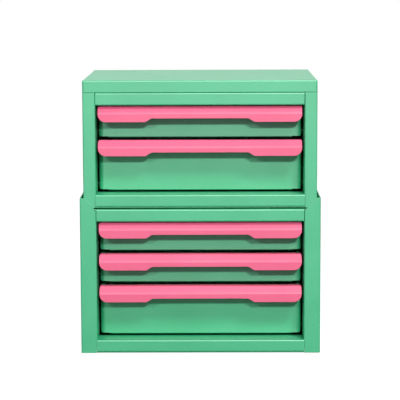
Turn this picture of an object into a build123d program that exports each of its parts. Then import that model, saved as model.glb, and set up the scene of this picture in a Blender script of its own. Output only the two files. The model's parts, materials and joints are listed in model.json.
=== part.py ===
from build123d import *
import os

# A desktop box of five pencil drawers: two stacked cabinets of folded sheet steel.
# Millimetres. Z is up, the drawers open towards -Y, and the origin lies on the table
# under the middle of the lower cabinet.

# --- sheet ---------------------------------------------------------------------------
sheet = 1.0  # steel of the cabinets and of the pulls
drawer_sheet = 0.8  # steel of the drawers and of the runners
bend = 1.4  # outer radius of a cabinet's bends
drawer_bend = 1.3  # outer radius of a drawer's and a runner's bends
fit = 0.15  # gap where one sheet's end meets another
relief = 0.3  # gap between pieces that slide or lift past each other

# --- cabinets ------------------------------------------------------------------------
lower_width = 256.0
lower_depth = 190.0
cradle_gap = 3.0  # between an ear and the upper cabinet's side
upper_stile_width = 13.5  # of the upper cabinet's stiles; both openings are equally wide
stile_return_depth = 34.0  # how far a stile turns back into the cabinet
rail_return_depth = 27.0  # how far a rail does
top_rail_height = 13.3
bottom_rail_height = 13.0
rail_step = 1.0  # a bottom rail is let into each stile by this much
ledge_lip = 5.0  # turned down at the back of a rail's return
rail_foot = 14.0  # the bottom rail's return over the bottom panel
back_flange = 12.0
panel_flange = 8.0  # turned on a top or bottom panel, against the walls
cover_height = 13.1
cover_corner = 2.0
cover_foot_bend = 0.8
cover_return = 9.0  # turned in under the top cover
top_flange = 11.0  # turned in at the top of an upper side, under the cover
pad_height = 1.5
pad_diameter = 14.0
pad_inset = 16.0  # of a pad's centre from the cabinet's side
pad_setback = 38.0  # of a pad's centre from the cabinet's front and back

# --- ears of the lower cabinet -------------------------------------------------------
ear_height = 12.0
ear_tip = 5.4  # flat width left at the top of an ear's front

# --- drawers -------------------------------------------------------------------------
drawer_side_gap = 2.0  # between a drawer and each stile's return
top_height = 35.1  # of the highest drawer
shallow_height = 33.5
deep_height = 56.0
drawer_gap = 1.0  # between one drawer and the next
floor_gap = 2.0  # under the lowest drawer of a cabinet
lower_head_gap = 1.1  # over the highest drawer of the lower cabinet
upper_head_gap = 0.9
recess = 24.5  # of the drawer fronts behind the cabinet's front
tray_depth = 158.0  # from the front's face to the back of the tray
front_radius = 5.0  # of a front's upright edges
front_flange = 12.0  # turned back at a front's sides and foot
foot_notch = 10.0  # each end of a front's foot fold that is cut away
foot_rise = 1.0  # how much higher the front ends there
foot_corner = 2.5
rim_drop = 3.0  # of a tray's rim below the drawer's top
rim_lip = 4.0  # turned in along a tray's rim
back_drop = 2.0  # of a tray's back wall below its rim

# --- pulls ---------------------------------------------------------------------------
pull_reach = 24.0
pull_inset = 0.5  # of a pull's ends from the drawer's sides
shelf_fall = 2.0  # of the shelf, from the ridge back to the front panel
slope_drop = 7.5  # of the slope between the ridge and the lip
slope_depth = 6.0
lip_depth = 13.0  # from the drawer's top to the lip's edge in the middle
lobe_extra = 3.9  # how much lower the lip is at both ends
ridge_bend = 1.8
lip_bend = 3.0
lobe_radius = 8.5
pull_corner = 2.5
cut_width = 102.5  # of the middle of the lip, at its edge
cut_slant = 6.5
cut_fillet = 1.5
hook_height = 12.0  # of the pull's flange behind the front
hook_inset = 8.5  # of that flange from the drawer's sides
rivet_diameter = 3.2
rivet_head = 6.4
rivet_head_height = 1.0
rivet_head_round = 0.8
rivet_span = 76.0
rivet_drop = 6.5  # of the rivets below the shelf's back edge
rivet_slack = 0.05  # around a rivet in its hole

# --- runners -------------------------------------------------------------------------
glide = 0.2  # under a tray
side_play = 0.4  # each side of a tray
runner_shelf = 6.0  # height of the step that guides the tray
runner_leg = 10.0  # of the leg on the cabinet's side
runner_ledge = 5.0  # under the tray
runner_setback = 3.0  # from the front's flange and from the back panel
stop_reach = 5.0  # how far a tray's stop stands out
stop_height = 12.0
stop_rise = 9.0
stop_setback = 28.0  # from the back of the tray

# --- worked out from these -----------------------------------------------------------
upper_width = lower_width - 2 * (sheet + cradle_gap)
opening_width = upper_width - 2 * upper_stile_width
drawer_width = opening_width - 2 * drawer_side_gap
upper_depth = lower_depth - 2 * (sheet + relief)
lower_floor = pad_height
lower_opening = lower_floor + sheet + bottom_rail_height
deep_5 = lower_opening + floor_gap
shallow_4 = deep_5 + deep_height + drawer_gap
shallow_3 = shallow_4 + shallow_height + drawer_gap
lower_opening_top = shallow_3 + shallow_height + lower_head_gap
lower_top = lower_opening_top + top_rail_height
upper_floor = lower_top + pad_height
upper_opening = upper_floor + sheet + bottom_rail_height
deep_2 = upper_opening + floor_gap
shallow_1 = deep_2 + deep_height + drawer_gap
upper_opening_top = shallow_1 + top_height + upper_head_gap
seam_height = upper_opening_top + top_rail_height
upper_top = seam_height + cover_height

drawers = {
    1: (shallow_1, top_height, upper_width, upper_depth),
    2: (deep_2, deep_height, upper_width, upper_depth),
    3: (shallow_3, shallow_height, lower_width, lower_depth),
    4: (shallow_4, shallow_height, lower_width, lower_depth),
    5: (deep_5, deep_height, lower_width, lower_depth),
}

os.makedirs("parts", exist_ok=True)


def save(piece, name):
    piece.part.label = name
    export_step(piece.part, f"parts/{name}.step")


def fold(plane, points, radii, wall):
    # Section of a bent sheet. One face follows the points and the other lies to the left of
    # them. A bend's radius is that of its outer face, whichever way it turns.
    runs = [Vector(*end) - Vector(*start) for start, end in zip(points, points[1:])]
    normals = [run.normalized().rotate(Axis.Z, 90) for run in runs]
    corners = list(zip(normals, normals[1:]))
    shifts = [(before + after) / (1 + before.dot(after)) for before, after in corners]
    shifts = [normals[0], *shifts, normals[-1]]
    far_points = [Vector(*point) + shift * wall for point, shift in zip(points, shifts)]
    turns_left = [before.cross(after).Z > 0 for before, after in corners]
    near_radii = [r if left else r - wall for r, left in zip(radii, turns_left)]
    far_radii = [r - wall if left else r for r, left in zip(radii, turns_left)]
    with BuildSketch(plane) as section:
        with BuildLine():
            near_face = FilletPolyline(*points, radius=near_radii)
            far_face = FilletPolyline(*far_points, radius=far_radii)
            Line(near_face @ 0, far_face @ 0)
            Line(near_face @ 1, far_face @ 1)
        make_face()
    return section.sketch


def across(x=0.0):
    # Plane of a profile that runs along X: its x is Y and its y is Z.
    return Plane.YZ.offset(x)


def along(y):
    # Plane of a profile that runs along Y: its x is X and its y is Z.
    return Plane(origin=(0, y, 0), x_dir=(1, 0, 0), z_dir=(0, -1, 0))


# --- cabinets ------------------------------------------------------------------------
opening_half = opening_width / 2
top_rail_half = opening_half - fit
bottom_rail_half = opening_half + rail_step - fit
return_sill = 0.5  # of a stile's front left beside its return, above the lower top panel
wall_overlap = 6.0  # of a folded flange's upright leg with the wall that it grows from


def side_plan(width, depth, floor):
    # Stile return, stile, side and back flange of a right-hand side, seen from above.
    half = width / 2
    front = -depth / 2
    points = [
        (opening_half, front + stile_return_depth),
        (opening_half, front),
        (half, front),
        (half, -front),
        (half - back_flange, -front),
    ]
    return fold(Plane.XY.offset(floor), points, 3 * [bend], sheet)


def rail_notch(depth, floor, opening):
    # Block that clears a right-hand stile's edge and return for the end of a bottom rail.
    corner = (opening_half - sheet, -depth / 2 - sheet, floor - sheet)
    size = (sheet + rail_step, stile_return_depth + 2 * sheet, opening - floor + sheet)
    return Pos(*corner) * Box(*size, align=Align.MIN, mode=Mode.PRIVATE)


def top_rail_section(depth, bottom, top):
    front = -depth / 2
    points = [
        (front + rail_foot, top),
        (front, top),
        (front, bottom),
        (front + rail_return_depth, bottom),
        (front + rail_return_depth, bottom + ledge_lip),
    ]
    return fold(across(-top_rail_half), points, 3 * [bend], sheet)


def bottom_rail_section(depth, bottom, top):
    front = -depth / 2
    points = [
        (front + rail_return_depth, top - ledge_lip),
        (front + rail_return_depth, top),
        (front, top),
        (front, bottom),
        (front + rail_foot, bottom),
    ]
    return fold(across(-bottom_rail_half), points, 3 * [bend], sheet)


with BuildPart() as lower_right_side:
    extrude(side_plan(lower_width, lower_depth, lower_floor), amount=lower_top + ear_height - lower_floor)
    add(rail_notch(lower_depth, lower_floor, lower_opening), mode=Mode.SUBTRACT)
    # the ear: above the top panel the stile keeps only a slanted corner, and the back flange ends
    panel_underside = lower_top - sheet - fit
    stile_root = opening_half + bend + return_sill
    with BuildSketch(along(stile_return_depth + sheet - lower_depth / 2)):
        Polygon(
            (opening_half - sheet, panel_underside),
            (stile_root, panel_underside),
            (stile_root, lower_top),
            (lower_width / 2 - ear_tip, lower_top + ear_height),
            (lower_width / 2 - ear_tip, lower_top + ear_height + sheet),
            (opening_half - sheet, lower_top + ear_height + sheet),
            align=None,
        )
    extrude(amount=stile_return_depth + 2 * sheet, mode=Mode.SUBTRACT)
    with BuildSketch(along(lower_depth / 2 + sheet)):
        with Locations((lower_width / 2 - sheet, panel_underside)):
            Rectangle(back_flange, ear_height + 2 * sheet + fit, align=(Align.MAX, Align.MIN))
    extrude(amount=sheet + bend, mode=Mode.SUBTRACT)
save(lower_right_side, "lower_right_side")

with BuildPart() as lower_left_side:
    mirror(lower_right_side.part, about=Plane.YZ)
save(lower_left_side, "lower_left_side")

with BuildPart() as upper_right_side:
    extrude(side_plan(upper_width, upper_depth, upper_floor), amount=seam_height - upper_floor)
    add(rail_notch(upper_depth, upper_floor, upper_opening), mode=Mode.SUBTRACT)
    flange_end = upper_depth / 2 - bend - fit
    flange_points = [
        (upper_width / 2, seam_height - wall_overlap),
        (upper_width / 2, seam_height),
        (upper_width / 2 - top_flange, seam_height),
    ]
    extrude(fold(along(flange_end), flange_points, [bend], sheet), amount=2 * flange_end)
save(upper_right_side, "upper_right_side")

with BuildPart() as upper_left_side:
    mirror(upper_right_side.part, about=Plane.YZ)
save(upper_left_side, "upper_left_side")

# the lower cabinet's top and its top rail are one sheet
with BuildPart() as lower_top_panel:
    panel_half = lower_width / 2 - sheet
    panel_front = bend + fit - lower_depth / 2
    panel_back = lower_depth / 2 - bend - fit
    panel_points = [
        (panel_half, lower_top - panel_flange),
        (panel_half, lower_top),
        (-panel_half, lower_top),
        (-panel_half, lower_top - panel_flange),
    ]
    extrude(
        fold(along(panel_back), panel_points, 2 * [bend], sheet), amount=panel_back - panel_front
    )
    extrude(top_rail_section(lower_depth, lower_opening_top, lower_top), amount=2 * top_rail_half)
save(lower_top_panel, "lower_top_panel")

with BuildPart() as upper_top_rail:
    extrude(top_rail_section(upper_depth, upper_opening_top, seam_height), amount=2 * top_rail_half)
save(upper_top_rail, "upper_top_rail")

with BuildPart() as upper_top_cover:
    with BuildSketch(Plane.XY.offset(seam_height)):
        RectangleRounded(upper_width, upper_depth, cover_corner)
    extrude(amount=cover_height)
    fillet(upper_top_cover.edges().group_by(Axis.Z)[-1], bend)
    fillet(upper_top_cover.edges().group_by(Axis.Z)[0], cover_foot_bend)
    with BuildSketch(Plane.XY.offset(seam_height + sheet)):
        RectangleRounded(upper_width - 2 * sheet, upper_depth - 2 * sheet, cover_corner - sheet)
    extrude(amount=cover_height - 2 * sheet, mode=Mode.SUBTRACT)
    with BuildSketch(Plane.XY.offset(seam_height)):
        Rectangle(
            upper_width - 2 * (sheet + cover_return),
            upper_depth - 2 * (sheet + cover_return),
        )
    extrude(amount=sheet, mode=Mode.SUBTRACT)
save(upper_top_cover, "upper_top_cover")

cabinets = {
    "lower": (lower_width, lower_depth, lower_floor, lower_opening, lower_top),
    "upper": (upper_width, upper_depth, upper_floor, upper_opening, seam_height),
}

for name, (width, depth, floor, opening, top) in cabinets.items():
    front = -depth / 2
    back = depth / 2
    inside_half = width / 2 - sheet

    with BuildPart() as bottom_rail:
        extrude(bottom_rail_section(depth, floor + sheet, opening), amount=2 * bottom_rail_half)
    save(bottom_rail, f"{name}_bottom_rail")

    with BuildPart() as bottom_panel:
        pan_back = back - 2 * sheet
        pan_front = front + rail_return_depth + relief
        pan_points = [
            (-inside_half, floor + panel_flange),
            (-inside_half, floor),
            (inside_half, floor),
            (inside_half, floor + panel_flange),
        ]
        extrude(fold(along(pan_back), pan_points, 2 * [bend], sheet), amount=pan_back - pan_front)
        with BuildSketch(Plane.XY.offset(floor)):
            with Locations((0, front + bend + fit)):
                Rectangle(
                    2 * bottom_rail_half, rail_return_depth, align=(Align.CENTER, Align.MIN)
                )
        extrude(amount=sheet)
        back_points = [
            (pan_back - panel_flange, floor),
            (pan_back, floor),
            (pan_back, floor + panel_flange),
        ]
        back_half = inside_half - back_flange
        extrude(fold(across(-back_half), back_points, [bend], sheet), amount=2 * back_half)
    save(bottom_panel, f"{name}_bottom_panel")

    with BuildPart() as back_panel:
        with BuildSketch(Plane.XY.offset(floor)):
            with Locations((0, back - sheet)):
                Rectangle(
                    2 * (inside_half - sheet - fit), sheet, align=(Align.CENTER, Align.MAX)
                )
        extrude(amount=top - sheet - fit - floor)
    save(back_panel, f"{name}_back_panel")

    with BuildPart() as pads:
        with BuildSketch(Plane.XY.offset(floor - pad_height)):
            with GridLocations(width - 2 * pad_inset, depth - 2 * pad_setback, 2, 2):
                Circle(pad_diameter / 2)
        extrude(amount=pad_height)
    save(pads, f"{name}_pads")

# --- drawers and their runners -------------------------------------------------------
drawer_half = drawer_width / 2
tray_half = drawer_half - drawer_sheet
foot_half = drawer_half - foot_notch
hook_half = drawer_half - hook_inset
pull_half = drawer_half - pull_inset
guide_half = tray_half + side_play + drawer_sheet
grip = drawer_sheet + sheet  # of a rivet, through a front and the pull's flange

for number, (floor, height, width, depth) in drawers.items():
    face = recess - depth / 2
    top = floor + height
    rear = face + tray_depth
    shelf_back = top - shelf_fall
    rivet_places = [(x, shelf_back - rivet_drop) for x in (-rivet_span, 0, rivet_span)]

    with BuildPart() as front:
        front_top = shelf_back - sheet - relief
        plan_points = [
            (-drawer_half, face + front_flange),
            (-drawer_half, face),
            (drawer_half, face),
            (drawer_half, face + front_flange),
        ]
        plan_plane = Plane.XY.offset(floor + foot_rise)
        plan = fold(plan_plane, plan_points, 2 * [front_radius], drawer_sheet)
        extrude(plan, amount=front_top - floor - foot_rise)
        foot_points = [
            (face, floor + front_flange),
            (face, floor),
            (face + front_flange, floor),
        ]
        foot = fold(across(-foot_half), foot_points, [drawer_bend], drawer_sheet)
        extrude(foot, amount=2 * foot_half)
        # round the front's lower corners
        with BuildSketch(along(face + front_flange)):
            corners = [
                (-drawer_half, front_top),
                (-drawer_half, floor + foot_rise),
                (drawer_half, floor + foot_rise),
                (drawer_half, front_top),
            ]
            with BuildLine():
                FilletPolyline(*corners, radius=foot_corner)
                Line(corners[-1], corners[0])
            make_face()
            with Locations((0, floor)):
                Rectangle(2 * foot_half, front_flange, align=(Align.CENTER, Align.MIN))
        extrude(amount=front_flange, mode=Mode.INTERSECT)
        with BuildSketch(along(face + drawer_sheet)):
            with Locations(*rivet_places):
                Circle(rivet_diameter / 2 + rivet_slack)
        extrude(amount=drawer_sheet, mode=Mode.SUBTRACT)
    save(front, f"drawer_{number}_front")

    with BuildPart() as pull:
        hook_back = face + grip
        lip_face = face - pull_reach
        lobe_edge = top - lip_depth - lobe_extra
        pull_points = [
            (hook_back, shelf_back - hook_height),
            (hook_back, shelf_back),
            (lip_face + slope_depth, top),
            (lip_face, top - slope_drop),
            (lip_face, lobe_edge),
        ]
        pull_section = fold(across(-pull_half), pull_points, [bend, ridge_bend, lip_bend], sheet)
        extrude(pull_section, amount=2 * pull_half)
        # front outline: rounded corners, and a shallow cut in the middle of the lip
        cut_half = cut_width / 2
        with BuildSketch(along(hook_back)):
            with BuildLine():
                FilletPolyline(
                    (-pull_half, top),
                    (-pull_half, lobe_edge),
                    (-cut_half - cut_slant, lobe_edge),
                    (-cut_half, top - lip_depth),
                    (cut_half, top - lip_depth),
                    (cut_half + cut_slant, lobe_edge),
                    (pull_half, lobe_edge),
                    (pull_half, top),
                    radius=[pull_corner, lobe_radius] + 4 * [cut_fillet] + [lobe_radius, pull_corner],
                    close=True,
                )
            make_face()
        extrude(amount=grip + pull_reach, mode=Mode.INTERSECT)
        # the flange behind the front is narrower than the pull
        with BuildSketch(along(hook_back)):
            with Locations((hook_half, shelf_back), (-drawer_half, shelf_back)):
                Rectangle(hook_inset, hook_height, align=(Align.MIN, Align.MAX))
        extrude(amount=sheet, mode=Mode.SUBTRACT)
        with BuildSketch(along(hook_back)):
            with Locations(*rivet_places):
                Circle(rivet_diameter / 2 + rivet_slack)
        extrude(amount=sheet, mode=Mode.SUBTRACT)
    save(pull, f"drawer_{number}_pull")

    with BuildPart() as rivets:
        with BuildSketch(along(face)):
            with Locations(*rivet_places):
                Circle(rivet_head / 2)
        extrude(amount=rivet_head_height)
        with BuildSketch(along(hook_back + rivet_head_height)):
            with Locations(*rivet_places):
                Circle(rivet_head / 2)
        extrude(amount=rivet_head_height)
        for layer in (0, -1):
            fillet(rivets.edges().group_by(Axis.Y)[layer], rivet_head_round)
        with BuildSketch(along(hook_back)):
            with Locations(*rivet_places):
                Circle(rivet_diameter / 2)
        extrude(amount=grip)
    save(rivets, f"drawer_{number}_rivets")

    with BuildPart() as tray:
        tray_floor = floor + drawer_sheet
        rim = top - rim_drop
        tray_points = [
            (-tray_half + rim_lip, rim),
            (-tray_half, rim),
            (-tray_half, tray_floor),
            (tray_half, tray_floor),
            (tray_half, rim),
            (tray_half - rim_lip, rim),
        ]
        channel = fold(along(rear), tray_points, 4 * [drawer_bend], drawer_sheet)
        extrude(channel, amount=tray_depth - front_radius - relief)
        with BuildSketch(Plane.XY.offset(tray_floor)):
            with Locations((0, face + drawer_bend + fit)):
                Rectangle(2 * foot_half, front_flange, align=(Align.CENTER, Align.MIN))
        extrude(amount=drawer_sheet)
        with BuildSketch(Plane.XY.offset(tray_floor + drawer_sheet)):
            with Locations((0, rear)):
                Rectangle(
                    2 * (tray_half - drawer_sheet), drawer_sheet, align=(Align.CENTER, Align.MAX)
                )
        extrude(amount=rim - back_drop - tray_floor - drawer_sheet)
        # a tongue cut from each side wall and bent out stops the tray behind the stile
        stop_face = rear - stop_setback
        with BuildSketch(Plane.XY.offset(tray_floor + stop_rise)):
            with Locations((0, stop_face)):
                Rectangle(2 * (tray_half + stop_reach), drawer_sheet, align=(Align.CENTER, Align.MIN))
                Rectangle(
                    2 * (tray_half - drawer_sheet),
                    drawer_sheet,
                    align=(Align.CENTER, Align.MIN),
                    mode=Mode.SUBTRACT,
                )
        extrude(amount=stop_height)
        with BuildSketch(Plane.XY.offset(tray_floor + stop_rise)):
            with Locations((0, stop_face)):
                Rectangle(drawer_width, stop_reach, align=(Align.CENTER, Align.MAX))
        extrude(amount=stop_height, mode=Mode.SUBTRACT)
    save(tray, f"drawer_{number}_tray")

    with BuildPart() as right_runner:
        ledge = tray_floor - glide - drawer_sheet
        shelf = ledge + runner_shelf
        wall = width / 2 - sheet
        runner_points = [
            (tray_half - runner_ledge, ledge),
            (guide_half, ledge),
            (guide_half, shelf),
            (wall, shelf),
            (wall, shelf + runner_leg),
        ]
        runner_front = face + front_flange + runner_setback
        runner_back = depth / 2 - 2 * sheet - runner_setback
        runner_section = fold(along(runner_back), runner_points, 3 * [drawer_bend], drawer_sheet)
        extrude(runner_section, amount=runner_back - runner_front)
    save(right_runner, f"runner_{number}_right")

    with BuildPart() as left_runner:
        mirror(right_runner.part, about=Plane.YZ)
    save(left_runner, f"runner_{number}_left")
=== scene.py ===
import json
import math
import bpy
from mathutils import Matrix, Vector

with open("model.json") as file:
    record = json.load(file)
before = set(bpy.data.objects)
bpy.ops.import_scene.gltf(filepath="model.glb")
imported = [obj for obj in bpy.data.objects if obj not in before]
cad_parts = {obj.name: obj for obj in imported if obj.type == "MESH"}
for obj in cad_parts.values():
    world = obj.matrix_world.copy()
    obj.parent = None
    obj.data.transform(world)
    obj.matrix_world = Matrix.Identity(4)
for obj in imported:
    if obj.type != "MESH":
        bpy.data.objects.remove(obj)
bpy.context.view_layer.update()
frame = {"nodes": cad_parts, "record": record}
print("frame loaded:", len(frame["nodes"]), "nodes")


# shader maths: a socket that can be written into expressions
class Wire:
    def __init__(self, tree, socket):
        self.tree = tree
        self.socket = socket

    def maths(self, operation, *values):
        made = self.tree.nodes.new("ShaderNodeMath")
        made.operation = operation
        for slot, value in zip(made.inputs, values):
            plug(self.tree, slot, value)
        return Wire(self.tree, made.outputs[0])

    def __add__(self, other):
        return self.maths("ADD", self, other)

    def __radd__(self, other):
        return self.maths("ADD", other, self)

    def __sub__(self, other):
        return self.maths("SUBTRACT", self, other)

    def __rsub__(self, other):
        return self.maths("SUBTRACT", other, self)

    def __mul__(self, other):
        return self.maths("MULTIPLY", self, other)

    def __rmul__(self, other):
        return self.maths("MULTIPLY", other, self)

    def __gt__(self, other):
        return self.maths("GREATER_THAN", self, other)

    def limited(self, low=0.0, high=1.0):
        return self.maths("MINIMUM", self.maths("MAXIMUM", self, low), high)

    def ramped(self, start, end, low=0.0, high=1.0):
        # a smooth step from low to high while the value goes from start to end
        made = addNode(self.tree, "MapRange", {"interpolation_type": "SMOOTHSTEP"}, {
            "Value": self, "From Min": start, "From Max": end, "To Min": low, "To Max": high})
        return made["Result"]


def plug(tree, slot, value):
    if isinstance(value, Wire):
        tree.links.new(value.socket, slot)
    elif slot.type == "RGBA":
        slot.default_value = (*value, 1.0)
    else:
        slot.default_value = value


def addNode(tree, kind, settings=None, sockets=None):
    # a socket goes by its name, or by its number where names repeat
    made = tree.nodes.new("ShaderNode" + kind)
    for name, value in (settings or {}).items():
        setattr(made, name, value)
    for name, value in (sockets or {}).items():
        plug(tree, made.inputs[name], value)
    wires = {out.name: Wire(tree, out) for out in made.outputs if out.enabled}
    return {**wires, "node": made}


def newMaterial(name):
    made = bpy.data.materials.new(name)
    made.use_nodes = True
    made.node_tree.nodes.clear()
    return made, made.node_tree


def patternPlace(tree, shift=(0.0, 0.0, 0.0)):
    coords = addNode(tree, "TexCoord")["Object"]
    return addNode(tree, "Mapping", None, {"Vector": coords, "Location": shift})["Vector"]


def noise(where, scale, detail, roughness, distortion=0.0):
    made = addNode(where.tree, "TexNoise", None, {
        "Vector": where, "Scale": scale, "Detail": detail,
        "Roughness": roughness, "Distortion": distortion})
    return made["Fac"]


def blend(tree, factor, first, second):
    # the colour sockets of a Mix node are its seventh and eighth inputs and its third output
    made = addNode(tree, "Mix", {"data_type": "RGBA"}, {0: factor, 6: first, 7: second})
    return Wire(tree, made["node"].outputs[2])


def mixShaders(tree, factor, first, second):
    return addNode(tree, "MixShader", None, {0: factor, 1: first, 2: second})["Shader"]


edgeLook = {
    "samples": 6,
    "ramp": (0.02, 0.25),
}


def edgeMask(tree, radius):
    # 1 where a bevelled normal leaves the true one: cut edges and tight bends
    soft = addNode(tree, "Bevel", {"samples": edgeLook["samples"]}, {"Radius": radius})["Normal"]
    true = addNode(tree, "NewGeometry")["Normal"]
    alike = addNode(tree, "VectorMath", {"operation": "DOT_PRODUCT"}, {0: soft, 1: true})["Value"]
    return soft, (1.0 - alike).ramped(*edgeLook["ramp"])


def powderCoat(name, look):
    made, tree = newMaterial(name)
    where = patternPlace(tree, look["shift"])
    softNormal, edge = edgeMask(tree, look["edgeRadius"])
    cloud = noise(where, **look["cloud"])
    grain = noise(where, **look["grain"])
    peel = noise(where, **look["peel"])
    smudge = noise(where, **look["smudge"])
    colour = blend(tree, cloud.ramped(*look["cloudRamp"]), look["deep"], look["pale"])
    specks = grain.ramped(*look["speckRamp"]) * look["speckShare"]
    colour = blend(tree, specks, colour, look["speck"])
    colour = blend(tree, (edge * look["edgeFade"]).limited(), colour, look["thin"])
    chipped = (edge * (noise(where, **look["chips"]) > look["chipLimit"])).limited()
    colour = blend(tree, chipped, colour, look["primer"])
    # painted shade in the seams and creases where two sheets lie close, darker where ambient occlusion
    # finds little open space
    openness = addNode(tree, "AmbientOcclusion", {"samples": look["seamSamples"]},
                       {"Distance": look["seamReach"]})["AO"]
    seam = openness.ramped(*look["seamRamp"], look["seamShade"], 0.0)
    # the seam colour here is painted shade, not a colour the coat has
    colour = blend(tree, seam, colour, look["seamShadeColour"])
    rough = look["roughness"] + (smudge - 0.5) * look["roughSpread"]
    rough = rough + grain.ramped(*look["grainRoughRamp"]) * look["grainRough"]
    rough = (rough + chipped * look["chipRough"]).limited(look["smoothest"], 1.0)
    relief = peel + grain * look["grainHeight"] - chipped * look["chipHeight"]
    bump = addNode(tree, "Bump", None, {
        "Strength": look["peelStrength"], "Distance": look["peelDepth"],
        "Height": relief, "Normal": softNormal})["Normal"]
    shader = addNode(tree, "BsdfPrincipled", None, {
        "Base Color": colour, "Roughness": rough, "Normal": bump,
        "IOR": look["ior"], "Specular IOR Level": look["specular"]})["BSDF"]
    addNode(tree, "OutputMaterial", None, {"Surface": shader})
    return made


greenCoat = {
    "shift": (0.0, 0.0, 0.0),
    "deep": (0.030, 0.435, 0.195),
    "pale": (0.036, 0.465, 0.215),
    "cloud": {"scale": 14.0, "detail": 3.0, "roughness": 0.55},
    "cloudRamp": (0.3, 0.7),
    "grain": {"scale": 1400.0, "detail": 2.0, "roughness": 0.6},
    "speck": (0.080, 0.490, 0.260),
    "speckRamp": (0.55, 0.8),
    "speckShare": 0.25,
    "edgeRadius": 0.0005,
    "thin": (0.110, 0.530, 0.310),  # where the coat is thin, along the edges
    "edgeFade": 0.45,
    "primer": (0.42, 0.45, 0.44),
    "chips": {"scale": 260.0, "detail": 2.0, "roughness": 0.5},
    "chipLimit": 0.72,
    "chipRough": 0.2,
    "chipHeight": 1.5,
    # seam entries: painted shade in seams and creases, drawn from ambient occlusion
    "seamReach": 0.0012,
    "seamSamples": 8,
    "seamRamp": (0.35, 0.75),
    "seamShade": 0.75,
    # colour of the painted shade in the seams and creases
    "seamShadeColour": (0.006, 0.060, 0.030),
    "peel": {"scale": 620.0, "detail": 2.0, "roughness": 0.5},
    "peelStrength": 0.35,
    "peelDepth": 0.00012,
    "grainHeight": 0.25,
    "smudge": {"scale": 30.0, "detail": 4.0, "roughness": 0.6, "distortion": 0.8},
    "roughness": 0.42,
    "roughSpread": 0.12,
    "grainRoughRamp": (0.4, 0.9),
    "grainRough": 0.03,
    "smoothest": 0.05,
    "ior": 1.65,
    "specular": 1.0,
}
pinkCoat = {
    **greenCoat,
    "shift": (0.31, 0.17, 0.05),
    "deep": (0.770, 0.064, 0.185),
    "pale": (0.800, 0.076, 0.205),
    "speck": (0.820, 0.130, 0.260),
    "thin": (0.820, 0.160, 0.300),
    "primer": (0.55, 0.06, 0.07),
    # colour of the painted shade in the seams and creases of the pink parts
    "seamShadeColour": (0.300, 0.020, 0.050),
    "roughness": 0.60,
}


def plainMetal(name, look):
    made, tree = newMaterial(name)
    where = patternPlace(tree)
    softNormal, edge = edgeMask(tree, look["edgeRadius"])
    spangle = addNode(tree, "TexVoronoi", {"feature": "F1"},
                      {"Vector": where, "Scale": look["spangleScale"]})["Color"]
    grey = addNode(tree, "RGBToBW", None, {"Color": spangle})["Val"]
    fine = noise(where, **look["fine"])
    colour = blend(tree, grey.ramped(*look["spangleRamp"]), look["dark"], look["light"])
    colour = blend(tree, (edge * look["edgeShine"]).limited(), colour, look["bright"])
    rough = look["roughness"] + (grey - 0.5) * look["roughSpread"] + (fine - 0.5) * look["fineRough"]
    bump = addNode(tree, "Bump", None, {
        "Strength": look["fineStrength"], "Distance": look["fineDepth"],
        "Height": fine, "Normal": softNormal})["Normal"]
    shader = addNode(tree, "BsdfPrincipled", None, {
        "Base Color": colour, "Metallic": 1.0, "Roughness": rough.limited(look["smoothest"], 1.0),
        "Normal": bump})["BSDF"]
    addNode(tree, "OutputMaterial", None, {"Surface": shader})
    return made


zincSheet = {
    "dark": (0.36, 0.38, 0.40),
    "light": (0.58, 0.60, 0.61),
    "spangleScale": 160.0,
    "spangleRamp": (0.2, 0.8),
    "edgeRadius": 0.0004,
    "edgeShine": 0.5,
    "bright": (0.78, 0.79, 0.80),
    "fine": {"scale": 900.0, "detail": 3.0, "roughness": 0.6},
    "fineStrength": 0.25,
    "fineDepth": 0.00005,
    "fineRough": 0.1,
    "roughness": 0.42,
    "roughSpread": 0.18,
    "smoothest": 0.05,
}
rivetMetal = {
    **zincSheet,
    "dark": (0.62, 0.63, 0.64),
    "light": (0.78, 0.79, 0.80),
    "bright": (0.88, 0.88, 0.89),
    "spangleScale": 900.0,
    "roughness": 0.34,
}


def padRubber(name, look):
    made, tree = newMaterial(name)
    where = patternPlace(tree)
    softNormal, edge = edgeMask(tree, look["edgeRadius"])
    pores = noise(where, **look["pores"])
    dust = noise(where, **look["dust"]).ramped(*look["dustRamp"])
    colour = blend(tree, dust, look["black"], look["dusty"])
    colour = blend(tree, edge * look["edgeDust"], colour, look["dusty"])
    bump = addNode(tree, "Bump", None, {
        "Strength": look["poreStrength"], "Distance": look["poreDepth"],
        "Height": pores, "Normal": softNormal})["Normal"]
    rough = (look["roughness"] + (pores - 0.5) * look["roughSpread"]).limited()
    shader = addNode(tree, "BsdfPrincipled", None, {
        "Base Color": colour, "Roughness": rough, "Normal": bump})["BSDF"]
    addNode(tree, "OutputMaterial", None, {"Surface": shader})
    return made


rubber = {
    "black": (0.020, 0.020, 0.021),
    "dusty": (0.070, 0.068, 0.064),
    "dust": {"scale": 120.0, "detail": 4.0, "roughness": 0.6},
    "dustRamp": (0.5, 0.75),
    "edgeRadius": 0.0004,
    "edgeDust": 0.5,
    "pores": {"scale": 1500.0, "detail": 3.0, "roughness": 0.65},
    "poreStrength": 0.4,
    "poreDepth": 0.0001,
    "roughness": 0.75,
    "roughSpread": 0.2,
}

finishes = {
    "green_enamel": powderCoat("greenPowderCoat", greenCoat),
    "pink_enamel": powderCoat("pinkPowderCoat", pinkCoat),
    "runner_zinc": plainMetal("zincPlatedSheet", zincSheet),
    "rivet_aluminium": plainMetal("rivetAluminium", rivetMetal),
    "pad_rubber": padRubber("padRubber", rubber),
}
slotOfNode = {entry["node"]: entry["material_slot"] for entry in frame["record"]["subparts"]}
for nodeName, cadObject in frame["nodes"].items():
    cadObject.data.materials.clear()
    cadObject.data.materials.append(finishes[slotOfNode[nodeName]])
print("finishes put on", len(slotOfNode), "nodes")

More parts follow.
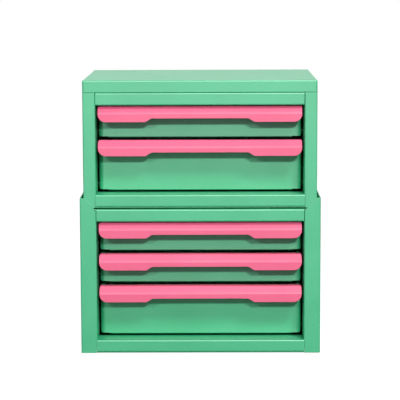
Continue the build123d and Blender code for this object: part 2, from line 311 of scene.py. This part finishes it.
white = (1.0, 1.0, 1.0)
floorLook = {
    "size": 3.0,
    "colour": (0.35, 0.35, 0.35),
    "cloudColour": (0.33, 0.33, 0.33),
    "cloud": {"scale": 3.0, "detail": 2.0, "roughness": 0.5},
    "cloudRamp": (0.2, 0.8, 0.99, 1.0),
    "mirroredColour": (0.06, 0.06, 0.06),  # as glossy surfaces show it
    "whiteLift": 0.93,  # as the camera sees it
}


def makeFloor(look):
    bpy.ops.mesh.primitive_plane_add(size=look["size"], location=(0.0, 0.0, 0.0))
    floor = bpy.context.object
    floor.name = "floor"
    made, tree = newMaterial("paleFloor")
    rays = addNode(tree, "LightPath")
    cloud = noise(patternPlace(tree), **look["cloud"]).ramped(*look["cloudRamp"])
    tone = blend(tree, cloud, look["cloudColour"], look["colour"])
    plain = addNode(tree, "BsdfDiffuse", None, {"Color": tone})["BSDF"]
    mirrored = addNode(tree, "BsdfDiffuse", None, {"Color": look["mirroredColour"]})["BSDF"]
    glow = addNode(tree, "Emission", None, {"Color": white, "Strength": look["whiteLift"]})["Emission"]
    lifted = addNode(tree, "AddShader", None, {0: plain, 1: glow})["Shader"]
    bounced = mixShaders(tree, rays["Is Glossy Ray"], plain, mirrored)
    seen = mixShaders(tree, rays["Is Camera Ray"], bounced, lifted)
    addNode(tree, "OutputMaterial", None, {"Surface": seen})
    floor.data.materials.append(made)


makeFloor(floorLook)

roomLook = {
    "lowAmbient": 0.16,
    "highAmbient": 0.05,
    "ambientRamp": (0.15, 0.60),
    "backAmbient": 0.90,
    "backRamp": (0.10, 0.60),
    "backTopRamp": (0.25, 0.60, 1.0, 0.0),  # the light from behind ends at this height
    "horizonGlow": 1.15,  # what glossy surfaces show above the horizon
    "frontGlow": 0.04,
    "horizonRamp": (-0.10, 0.10),
}


def makeWorld(look):
    world = bpy.data.worlds.new("studio")
    world.use_nodes = True
    tree = world.node_tree
    tree.nodes.clear()
    rays = addNode(tree, "LightPath")
    heading = addNode(tree, "TexCoord")["Generated"]
    ways = addNode(tree, "SeparateXYZ", None, {"Vector": heading})
    height = ways["Z"]
    behind = ways["Y"].ramped(*look["backRamp"]) * height.ramped(*look["backTopRamp"])
    sheen = height.ramped(*look["horizonRamp"], look["frontGlow"], look["horizonGlow"])
    ambient = height.ramped(*look["ambientRamp"], look["lowAmbient"], look["highAmbient"])
    ambient = ambient + behind * look["backAmbient"]
    glossy = rays["Is Glossy Ray"]
    camera = rays["Is Camera Ray"]
    strength = camera + (1 - camera) * (glossy * sheen + (1 - glossy) * ambient)
    shade = addNode(tree, "Background", None, {"Color": white, "Strength": strength})["Background"]
    addNode(tree, "OutputWorld", None, {"Surface": shade})
    bpy.context.scene.world = world


makeWorld(roomLook)

lamps = {
    "leftSoftbox": {"azimuth": -17.0, "elevation": 22.0, "distance": 3.8, "size": 0.20, "power": 27.0},
    "rightSoftbox": {"azimuth": 9.0, "elevation": 23.5, "distance": 3.8, "size": 0.20, "power": 62.0},
    "highSoftbox": {"azimuth": 28.0, "elevation": 47.0, "distance": 3.4, "size": 0.60, "power": 56.0},
    "topSoftbox": {"azimuth": 0.0, "elevation": 68.0, "distance": 3.4, "size": 0.60, "power": 4.0},
}


def makeLamp(name, lamp, aim):
    data = bpy.data.lights.new(name, "AREA")
    data.shape = "SQUARE"
    data.size = lamp["size"]
    data.energy = lamp["power"]
    made = bpy.data.objects.new(name, data)
    bpy.context.collection.objects.link(made)
    turn = math.radians(lamp["azimuth"])
    lift = math.radians(lamp["elevation"])
    away = Vector((math.sin(turn) * math.cos(lift), -math.cos(turn) * math.cos(lift), math.sin(lift)))
    made.location = aim + away * lamp["distance"]
    made.rotation_euler = (-away).to_track_quat("-Z", "Y").to_euler()


aimPoint = Vector((0.0, -0.095, 0.03))
for lampName, lamp in lamps.items():
    makeLamp(lampName, lamp, aimPoint)

view = {
    "place": (0.0164, -1.9241, 0.4133),
    "pitch": -7.671,
    "yaw": -0.518,
    "roll": -0.211,
    "focalPixels": 1740.8,
    "frameWidth": 400.0,
    "sensorWidth": 36.0,
}


def makeCamera(look):
    data = bpy.data.cameras.new("camera")
    data.sensor_width = look["sensorWidth"]
    data.lens = look["focalPixels"] * look["sensorWidth"] / look["frameWidth"]
    camera = bpy.data.objects.new("camera", data)
    bpy.context.collection.objects.link(camera)
    pitch, yaw, roll = (math.radians(look[key]) for key in ("pitch", "yaw", "roll"))
    forward = Vector((math.sin(yaw) * math.cos(pitch), math.cos(yaw) * math.cos(pitch), math.sin(pitch)))
    right = Vector((math.cos(yaw), -math.sin(yaw), 0.0))
    up = right.cross(forward)
    tiltedRight = right * math.cos(roll) + up * math.sin(roll)
    tiltedUp = up * math.cos(roll) - right * math.sin(roll)
    turned = Matrix((tiltedRight, tiltedUp, -forward)).transposed()
    camera.matrix_world = Matrix.Translation(look["place"]) @ turned.to_4x4()
    data.clip_end = 20.0
    bpy.context.scene.camera = camera


makeCamera(view)
bpy.context.scene.view_settings.view_transform = "Standard"
print("stage, lamps and camera set")
